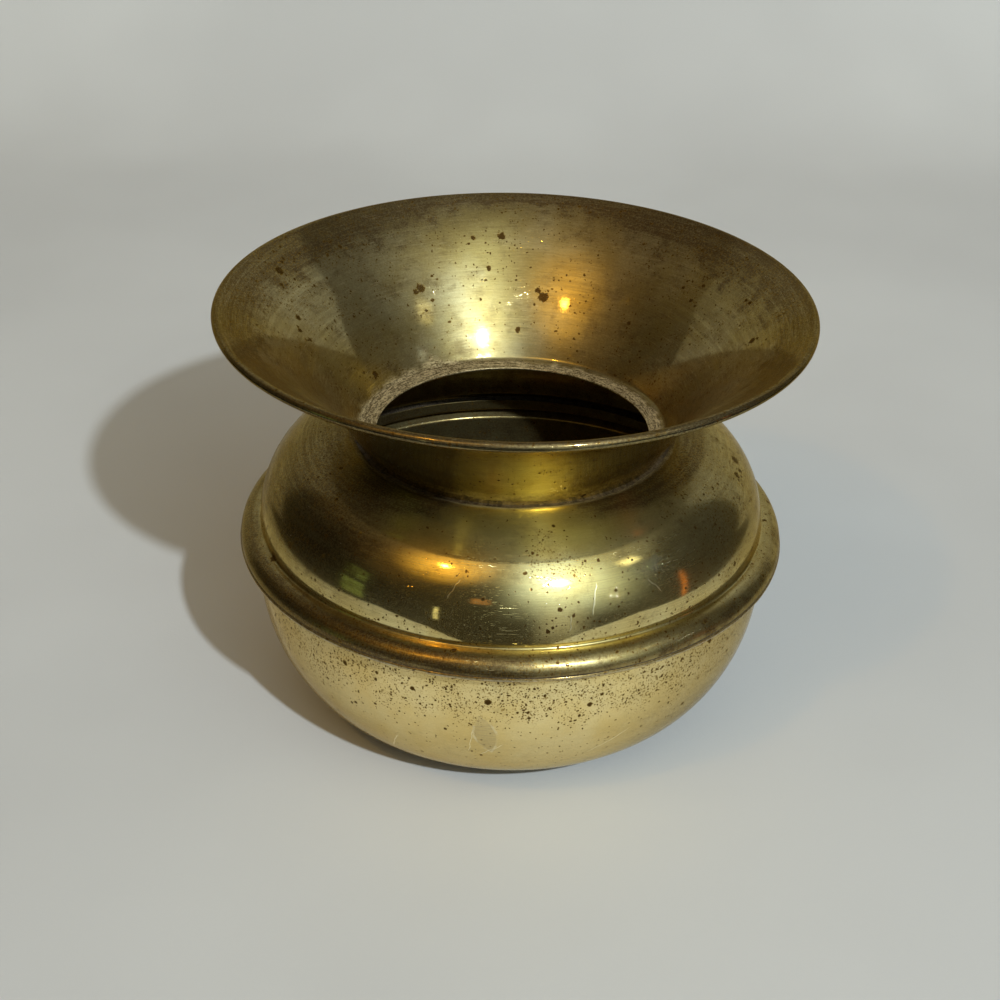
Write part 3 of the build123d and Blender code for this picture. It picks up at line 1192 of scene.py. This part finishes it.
def sheet_line():
    """Depth, height and half width of the sheet, from where it widens to its top."""
    line = [(SHEET_WIDENS_FROM, 0.0, SHEET_HALF_WIDTH)]
    for i in range(1, WIDENING_STEPS + 1):
        share = i / WIDENING_STEPS
        half = SHEET_HALF_WIDTH + (BACKDROP_HALF_WIDTH - SHEET_HALF_WIDTH) * share
        line.append((SHEET_WIDENS_FROM + (SHEET_BACK - SHEET_WIDENS_FROM) * share, 0.0, half))
    for i in range(1, CURVE_STEPS + 1):
        turn = pi / 2 * i / CURVE_STEPS
        place = (SHEET_BACK + SHEET_CURVE * sin(turn), SHEET_CURVE * (1 - cos(turn)))
        line.append((*place, BACKDROP_HALF_WIDTH))
    line.append((SHEET_BACK + SHEET_CURVE, SHEET_TOP, BACKDROP_HALF_WIDTH))
    return line


def make_backdrop():
    """Sheet of cross strips, with one face in front that takes in the scooped edge."""
    line = sheet_line()
    vertices = [(side * half, y, z - SHEET_DROP) for y, z, half in line for side in (-1, 1)]
    faces = [(2 * i, 2 * i + 1, 2 * i + 3, 2 * i + 2) for i in range(len(line) - 1)]
    edge_start = len(vertices)
    for i in range(FRONT_STEPS + 1):
        x = SHEET_HALF_WIDTH * (2 * i / FRONT_STEPS - 1)
        scoop = SHEET_SCOOP * exp(-((x / SHEET_SCOOP_WIDTH) ** 2))
        vertices.append((x, SHEET_FRONT + scoop, -SHEET_DROP))
    faces.append((*range(edge_start, len(vertices)), 1, 0))
    mesh = bpy.data.meshes.new("backdrop")
    mesh.from_pydata(vertices, [], faces)
    mesh.polygons.foreach_set("use_smooth", [True] * len(faces))
    mesh.materials.append(pale_cloth())
    sheet = bpy.data.objects.new("backdrop", mesh)
    bpy.context.scene.collection.objects.link(sheet)


make_backdrop()

# The room that the brass mirrors. Azimuths are from the front, positive to the right, and elevations
# from level, both in degrees.
WALL_LEFT = (0.013, 0.011, 0.007, 1)
WALL_RIGHT = (0.036, 0.033, 0.026, 1)
WALL_FRONT = (0.075, 0.073, 0.062, 1)
CEILING = (0.13, 0.115, 0.095, 1)
# Azimuth, elevation, radius and light of each glow
GLOWS = [
    (-60, 44, 32, (0.11, 0.062, 0.012)),
    (-119, 44, 26, (0.16, 0.125, 0.06)),
    (68, 56, 26, (0.28, 0.28, 0.22)),
    (-39, 52, 23, (1.45, 0.86, 0.13)),
    (-6, 62, 34, (0.26, 0.23, 0.16)),
]
# Azimuth, elevation, width, height, softness of the edge and light of each window
WINDOWS = [
    (22, 0, 17, 50, 0.42, (0.38, 0.38, 0.32)),
    (31, 44, 44, 56, 0.45, (1.10, 1.30, 1.28)),
    (-69, 12, 11, 10, 0.08, (0.20, 0.28, 0.09)),
    (-69, -3, 11, 14, 0.08, (0.24, 0.33, 0.11)),
    (67, 43, 10, 7, 0.30, (2.2, 2.2, 1.6)),
    (79, -2, 2.5, 22, 0.2, (1.0, 0.34, 0.07)),
    (-30, -1, 2, 13, 0.15, (1.3, 1.3, 0.9)),
    (-12, 20, 8, 6, 0.2, (0.40, 0.20, 0.08)),
]


def towards(azimuth, elevation):
    """Unit vector to a place in the room, in degrees from the front and from level."""
    a, e = radians(azimuth), radians(elevation)
    return Vector((sin(a) * cos(e), -cos(a) * cos(e), sin(e)))


def falling(g, distance, width, soft):
    """1 in the middle of a window, falling to 0 over its soft edge."""
    return g.remap(distance, width * (0.5 - soft), width * (0.5 + soft), 1.0, 0.0)


def make_world():
    """Dim room with a lighter ceiling, and the windows and glows that the brass mirrors."""
    world = bpy.data.worlds.new("room")
    bpy.context.scene.world = world
    g = Graph(world)
    ray = g.add("TexCoord").outputs["Generated"]
    x, y, z = g.add("SeparateXYZ", {0: ray}).outputs
    azimuth = g.times(g.math("ARCTAN2", x, g.times(y, -1.0)), degrees(1))
    elevation = g.times(g.math("ARCSINE", z), degrees(1))
    wall = g.blend(g.remap(azimuth, -20.0, 60.0), WALL_LEFT, WALL_RIGHT)
    in_front = g.remap(g.size(g.plus(azimuth, 8.0)), 48.0, 12.0)
    wall = g.blend(g.times(in_front, 0.35), wall, WALL_FRONT)
    colour = g.blend(g.remap(elevation, 32.0, 80.0), wall, CEILING)
    for azimuth_at, elevation_at, radius, light in GLOWS:
        facing = g.measure("DOT_PRODUCT", ray, towards(azimuth_at, elevation_at))
        share = g.remap(g.times(g.math("ARCCOSINE", facing), degrees(1)), float(radius), 0.0)
        colour = g.blend(share, colour, light + (1,), "ADD")
    for azimuth_at, elevation_at, width, height, soft, light in WINDOWS:
        off = g.size(g.minus(azimuth, float(azimuth_at)))
        rise = g.size(g.minus(elevation, float(elevation_at)))
        mask = g.times(falling(g, off, width, soft), falling(g, rise, height, soft))
        colour = g.blend(mask, colour, light + (1,))
    background = g.add("Background", {"Color": colour, "Strength": 1.0})
    g.add("OutputWorld", {"Surface": background.outputs[0]})


make_world()


LAMP_DISTANCE = 3.0
LAMP_AIM = Vector((0, 0, 0.12))


def make_lamp(name, azimuth, elevation, size, colour, power):
    """Round lamp that faces the object from a direction measured from the front."""
    light = bpy.data.lights.new(name, "AREA")
    light.shape = "DISK"
    light.size = size
    light.color = colour
    light.energy = power
    lamp = bpy.data.objects.new(name, light)
    ray = towards(azimuth, elevation)
    lamp.location = LAMP_AIM + ray * LAMP_DISTANCE
    lamp.rotation_euler = ray.to_track_quat("Z", "Y").to_euler()
    bpy.context.scene.collection.objects.link(lamp)


make_lamp("white_lamp", 25, 39, size=0.10, colour=(0.86, 0.96, 1.0), power=63.0)
make_lamp("amber_lamp", -38, 52, size=0.16, colour=(1.0, 0.56, 0.09), power=5.0)

# Camera as fitted to the photograph, with its angles in radians
CAMERA_LENS = 65.09
CAMERA_PLACE = (0, -0.698, 0.5028)
CAMERA_DOWN = 0.531
CAMERA_TURN = 0.007
CAMERA_ROLL = 0.020


def make_camera():
    """Camera on its place, turned down, to the side and rolled."""
    data = bpy.data.cameras.new("camera")
    data.lens = CAMERA_LENS
    camera = bpy.data.objects.new("camera", data)
    camera.location = CAMERA_PLACE
    aim = Euler((pi / 2 - CAMERA_DOWN, 0, CAMERA_TURN)).to_matrix()
    camera.rotation_euler = (aim @ Matrix.Rotation(CAMERA_ROLL, 3, "Z")).to_euler()
    bpy.context.scene.collection.objects.link(camera)
    bpy.context.scene.camera = camera


make_camera()
bpy.context.scene.view_settings.view_transform = "Standard"
